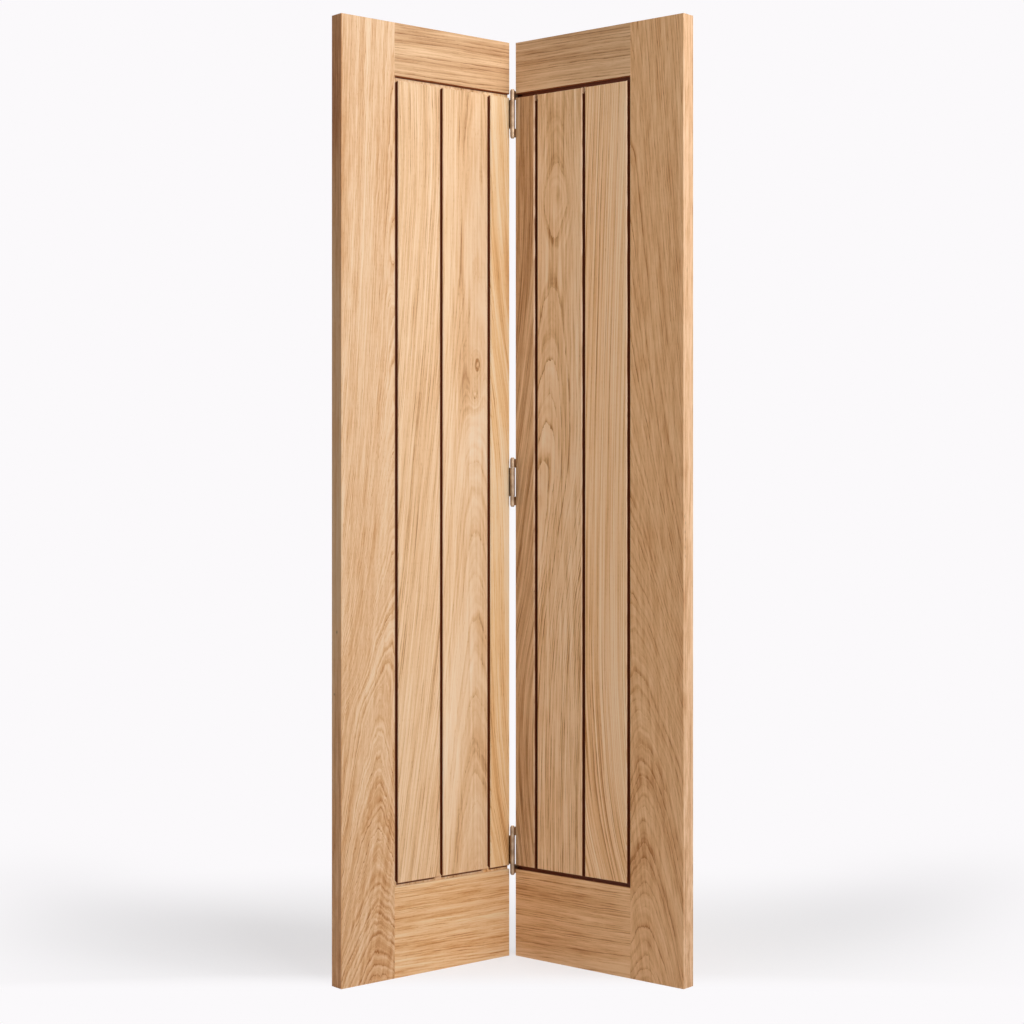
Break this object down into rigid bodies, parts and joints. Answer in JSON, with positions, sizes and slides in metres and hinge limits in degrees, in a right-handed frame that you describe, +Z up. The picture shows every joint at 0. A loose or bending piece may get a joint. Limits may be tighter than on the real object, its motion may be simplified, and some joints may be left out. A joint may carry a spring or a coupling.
{
  "type": "bi-fold door",
  "caption": "Boarded oak folding door pair on flush hinges, standing part folded, with plain stiles and rails round grooved upright boards.",
  "frame": {"origin": "on the floor, under the middle of the folded pair's bounding box", "axes": "+Z up; the fold opens towards -Y; +X to the right when looking along +Y into the fold"},
  "size_m": [0.7472, 0.3138, 2.007],
  "materials": {
    "left_bottom_rail": "clear satin oiled oak, its own grain",
    "left_half_board": "clear satin oiled oak, its own grain",
    "left_inner_board": "clear satin oiled oak, its own grain",
    "left_outer_board": "clear satin oiled oak, its own grain",
    "left_stile": "clear satin oiled oak, its own grain",
    "left_top_rail": "clear satin oiled oak, its own grain",
    "right_bottom_rail": "clear satin oiled oak, its own grain",
    "right_half_board": "clear satin oiled oak, its own grain",
    "right_inner_board": "clear satin oiled oak, its own grain",
    "right_outer_board": "clear satin oiled oak, its own grain",
    "right_stile": "clear satin oiled oak, its own grain",
    "right_top_rail": "clear satin oiled oak, its own grain",
    "hinge_steel": "satin nickel plated",
    "pin_steel": "satin nickel plated"
  },
  "bodies": {
    "root": {"bottom_hinge_inner_plate": "hinge_steel", "bottom_hinge_outer_plate": "hinge_steel", "bottom_hinge_pin": "pin_steel", "left_bottom_rail": "left_bottom_rail", "left_half_board": "left_half_board", "left_inner_board": "left_inner_board", "left_outer_board": "left_outer_board", "left_stile": "left_stile", "left_top_rail": "left_top_rail", "middle_hinge_inner_plate": "hinge_steel", "middle_hinge_outer_plate": "hinge_steel", "middle_hinge_pin": "pin_steel", "right_bottom_rail": "right_bottom_rail", "right_half_board": "right_half_board", "right_inner_board": "right_inner_board", "right_outer_board": "right_outer_board", "right_stile": "right_stile", "right_top_rail": "right_top_rail", "top_hinge_inner_plate": "hinge_steel", "top_hinge_outer_plate": "hinge_steel", "top_hinge_pin": "pin_steel"}
  },
  "joints": []
}
